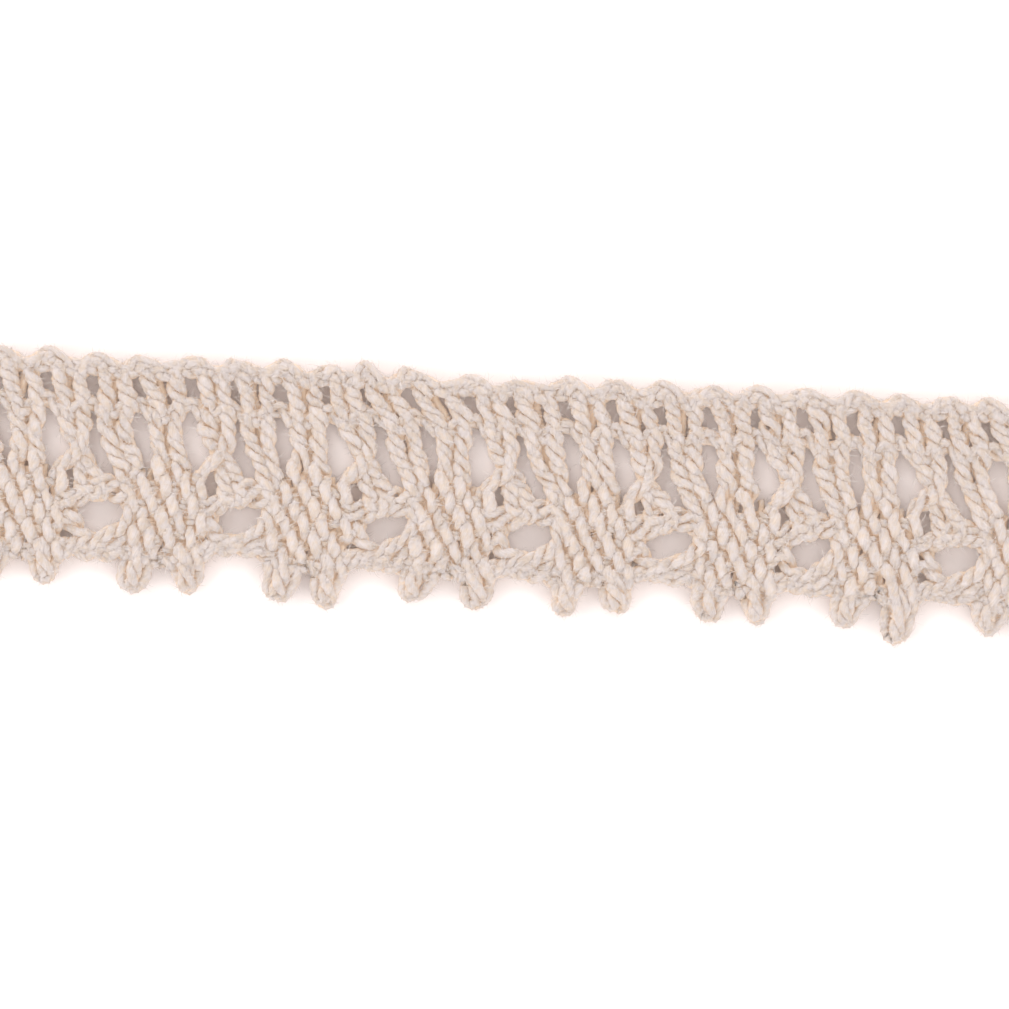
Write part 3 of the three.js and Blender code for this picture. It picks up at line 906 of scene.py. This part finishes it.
def lengthwise_yarns(plait):
    """The yarns of one lengthwise cord over a single repeat, which meet end to end."""
    count = int(REPEAT / SAMPLE_STEP)
    rows = np.array(plait.rows)
    wrapped = np.concatenate([rows[:-1] - [REPEAT, 0], rows[:-1], rows + [REPEAT, 0]])
    route = smooth_rows(wrapped)
    keep = np.linspace(0, REPEAT, count + 1)
    down = np.interp(keep, route[:, 0], route[:, 1])
    made = []
    for which in range(plait.strands):
        phase = 2 * math.pi * (keep / plait.twist_length + which / plait.strands)
        sideways = plait.spread * np.sin(phase)
        rise = plait.rise * (np.sin(2 * phase) if plait.strands == 3 else np.cos(phase))
        height = np.maximum(plait.middle + rise, plait.radius + LOWEST_GAP)
        points = np.stack([keep, down + sideways, height], axis=1)
        made.append(Yarn(points, np.full(len(keep), plait.radius)))
    return made


cord_yarns = []
for plait in (EDGE_PLAIT, EDGE_PAIR, HEADING_PLAIT, FOOT_PLAIT):
    cord_yarns.extend(lengthwise_yarns(plait))
edge_yarns = spun("edge_yarns", run_through(cord_yarns))


# Deep between the yarns the cotton looks warmer, because light reaches it only through other yarns. That
# warm shade is painted in, so every point keeps how much of the open air above it, or below it, other yarns
# hide, as the mask of the painted shade and glow.
CELL = 0.15
LOOK_OUT = (0.3, 0.45, 0.6, 0.8, 1.05, 1.4)
DIRECTIONS = 8
NOTHING_THERE = 9.0


def hidden_share(places, heights, top):
    """The share of the open air above each point that a height field hides, from 0 to 1."""
    hidden = np.zeros(len(heights))
    for turn in range(DIRECTIONS):
        angle = 2 * math.pi * turn / DIRECTIONS
        steepest = np.zeros(len(heights))
        for distance in LOOK_OUT:
            i = places[:, 0] + round(math.cos(angle) * distance / CELL)
            j = places[:, 1] + round(math.sin(angle) * distance / CELL)
            steepest = np.maximum(steepest, (top[i, j] - heights) / distance)
        hidden += steepest ** 2 / (1 + steepest ** 2)
    return hidden / DIRECTIONS


def mask_for_painted_light(pieces):
    """Stores on every yarn point how far it is hidden from its nearer face, as the mask of the painted
    shade and glow.
    """
    clouds = []
    for piece in pieces:
        points = np.empty(len(piece.data.vertices) * 3)
        piece.data.vertices.foreach_get("co", points)
        clouds.append(points.reshape(-1, 3) / MM)
    everything = np.concatenate(clouds)
    margin = 2 * LOOK_OUT[-1]
    low = everything[:, :2].min(axis=0) - margin
    cells = ((everything[:, :2] - low) / CELL).astype(int)
    shape = tuple(((everything[:, :2].max(axis=0) - low + margin) / CELL).astype(int))
    top = np.full(shape, -NOTHING_THERE)
    low_side = np.full(shape, -NOTHING_THERE)
    np.maximum.at(top, (cells[:, 0], cells[:, 1]), everything[:, 2])
    np.maximum.at(low_side, (cells[:, 0], cells[:, 1]), -everything[:, 2])
    shifts = [(i, j) for i in (-1, 0, 1) for j in (-1, 0, 1)]
    top = np.max([np.roll(top, shift, (0, 1)) for shift in shifts], axis=0)
    low_side = np.max([np.roll(low_side, shift, (0, 1)) for shift in shifts], axis=0)
    for piece, cloud in zip(pieces, clouds):
        places = ((cloud[:, :2] - low) / CELL).astype(int)
        above = hidden_share(places, cloud[:, 2], top)
        below = hidden_share(places, -cloud[:, 2], low_side)
        # The mask of the painted shade and the painted glow in the cotton's colour
        buried = piece.data.attributes.new("buried", "FLOAT", "POINT")
        buried.data.foreach_set("value", np.minimum(above, below).astype(np.float32))


pieces = [right_pairs, right_cores, left_pairs, workers, edge_yarns]
mask_for_painted_light(pieces)


# The fuzz. Loose ends of the cotton's fibres stand off every yarn, as they do where cotton isn't
# singed. Each is a thin bent taper that is scattered over the yarn by chance.
# A section of a fibre is its reach, its lift and its width, and the tip is a reach and a lift.
HAIR_SECTIONS = [(0.0, -0.02, 1.0), (0.5, 0.2, 0.75)]
HAIR_TIP = (1.0, 0.26)
HAIR_SIDES = 3
HAIR_THICKNESS = 0.02
HAIR_LENGTHS = (0.3, 1.2)
HAIRS_PER_SQUARE_MM = 3.9
LOWEST_HAIR_SLOPE = -0.15
LYING_HEIGHT = 0.02
HAIR_LEAN = (0.5, 0.35)
HAIR_LIFTS = (0.2, 1.6)
FUZZ_COLOUR = (0.62, 0.56, 0.53, 1.0)
FUZZ_ROUGHNESS = 0.9
FUZZ_SPECULAR = 0.1


def one_hair():
    """A single bent fibre end, one unit long, that tapers to its tip."""
    points = []
    faces = []
    for reach, lift, width in HAIR_SECTIONS:
        for side in range(HAIR_SIDES):
            angle = 2 * math.pi * side / HAIR_SIDES
            thick = width * HAIR_THICKNESS
            points.append((reach, thick * math.cos(angle), lift + thick * math.sin(angle)))
    for section in range(len(HAIR_SECTIONS) - 1):
        for side in range(HAIR_SIDES):
            a = section * HAIR_SIDES + side
            b = section * HAIR_SIDES + (side + 1) % HAIR_SIDES
            faces.append((a, b, b + HAIR_SIDES, a + HAIR_SIDES))
    tip = len(points)
    points.append((HAIR_TIP[0], 0, HAIR_TIP[1]))
    last = tip - HAIR_SIDES
    for side in range(HAIR_SIDES):
        faces.append((last + side, last + (side + 1) % HAIR_SIDES, tip))
    faces.append(tuple(reversed(range(HAIR_SIDES))))
    return add_mesh("one_hair", points, [], faces)


def fuzz_tree(hair):
    """Scatters loose fibre ends over a yarn mesh, each turned and sized by chance."""
    tree = bpy.data.node_groups.new("raise_fuzz", "GeometryNodeTree")
    sockets = {}
    for name, kind in (("Yarn", "Geometry"), ("Density", "Float"), ("Seed", "Int"), ("Cotton", "Material")):
        socket = tree.interface.new_socket(name, in_out="INPUT", socket_type=f"NodeSocket{kind}")
        sockets[name] = socket.identifier
    tree.interface.new_socket("Fuzz", in_out="OUTPUT", socket_type="NodeSocketGeometry")
    given = add_node(tree, "NodeGroupInput")
    result = add_node(tree, "NodeGroupOutput")
    scatter = add_node(tree, "GeometryNodeDistributePointsOnFaces")
    info = add_node(tree, "GeometryNodeObjectInfo")
    info.inputs["Object"].default_value = hair
    spin = add_node(tree, "FunctionNodeRandomValue", data_type="FLOAT_VECTOR")
    spin.inputs["Min"].default_value = (-HAIR_LEAN[0], -HAIR_LEAN[1], 0)
    spin.inputs["Max"].default_value = (*HAIR_LEAN, 2 * math.pi)
    turned = add_node(tree, "FunctionNodeRotateRotation", rotation_space="LOCAL")
    as_rotation = add_node(tree, "FunctionNodeEulerToRotation")
    size = add_node(tree, "FunctionNodeRandomValue", data_type="FLOAT_VECTOR")
    size.inputs["Min"].default_value = (HAIR_LENGTHS[0], 1.0, HAIR_LIFTS[0])
    size.inputs["Max"].default_value = (HAIR_LENGTHS[1], 1.0, HAIR_LIFTS[1])
    scale = add_node(tree, "ShaderNodeVectorMath", operation="SCALE")
    scale.inputs["Scale"].default_value = MM
    place = add_node(tree, "GeometryNodeInstanceOnPoints")
    realize = add_node(tree, "GeometryNodeRealizeInstances")
    dress = add_node(tree, "GeometryNodeSetMaterial")
    facing = add_node(tree, "GeometryNodeInputNormal")
    slope = add_node(tree, "ShaderNodeSeparateXYZ")
    upper = add_node(tree, "FunctionNodeCompare", operation="GREATER_THAN")
    upper.inputs["B"].default_value = LOWEST_HAIR_SLOPE
    tree.links.new(facing.outputs["Normal"], slope.inputs[0])
    tree.links.new(slope.outputs["Z"], upper.inputs["A"])
    tree.links.new(upper.outputs[0], scatter.inputs["Selection"])
    tree.links.new(given.outputs["Yarn"], scatter.inputs["Mesh"])
    tree.links.new(given.outputs["Density"], scatter.inputs["Density"])
    tree.links.new(given.outputs["Seed"], scatter.inputs["Seed"])
    tree.links.new(scatter.outputs["Points"], place.inputs["Points"])
    tree.links.new(info.outputs["Geometry"], place.inputs["Instance"])
    tree.links.new(spin.outputs[0], as_rotation.inputs[0])
    tree.links.new(scatter.outputs["Rotation"], turned.inputs["Rotation"])
    tree.links.new(as_rotation.outputs[0], turned.inputs["Rotate By"])
    tree.links.new(turned.outputs[0], place.inputs["Rotation"])
    tree.links.new(size.outputs[0], scale.inputs[0])
    tree.links.new(scale.outputs[0], place.inputs["Scale"])
    tree.links.new(place.outputs["Instances"], realize.inputs["Geometry"])
    tree.links.new(realize.outputs["Geometry"], dress.inputs["Geometry"])
    tree.links.new(given.outputs["Cotton"], dress.inputs["Material"])
    tree.links.new(dress.outputs["Geometry"], result.inputs["Fuzz"])
    return tree, sockets


def fuzz_material():
    """Pale matt cotton for the loose fibre ends."""
    material, _, shader = new_material("loose_fibres")
    shader.inputs["Base Color"].default_value = FUZZ_COLOUR
    shader.inputs["Roughness"].default_value = FUZZ_ROUGHNESS
    shader.inputs["Specular IOR Level"].default_value = FUZZ_SPECULAR
    return material


others = pieces[1:]
hair = one_hair()
fuzz_nodes, fuzz_inputs = fuzz_tree(hair)
loose_fibres = fuzz_material()
for number, piece in enumerate(pieces):
    modifier = piece.modifiers.new("fuzz", "NODES")
    modifier.node_group = fuzz_nodes
    modifier[fuzz_inputs["Density"]] = HAIRS_PER_SQUARE_MM / MM ** 2
    modifier[fuzz_inputs["Seed"]] = number
    modifier[fuzz_inputs["Cotton"]] = loose_fibres
    depsgraph = bpy.context.evaluated_depsgraph_get()
    mesh = bpy.data.meshes.new_from_object(piece.evaluated_get(depsgraph))
    piece.modifiers.remove(modifier)
    # A fibre that would go through the table lies down on it
    for vertex in mesh.vertices:
        sunk = LYING_HEIGHT - vertex.co.z / MM
        if sunk > 0:
            vertex.co.z = LYING_HEIGHT * (1 - sunk / HAIR_LENGTHS[1]) * MM
    fuzz = bpy.data.objects.new("fuzz_of_" + piece.name, mesh)
    bpy.context.scene.collection.objects.link(fuzz)
    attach(fuzz, "root")
    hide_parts("lace")
    others.append(fuzz)
bpy.data.objects.remove(hair)
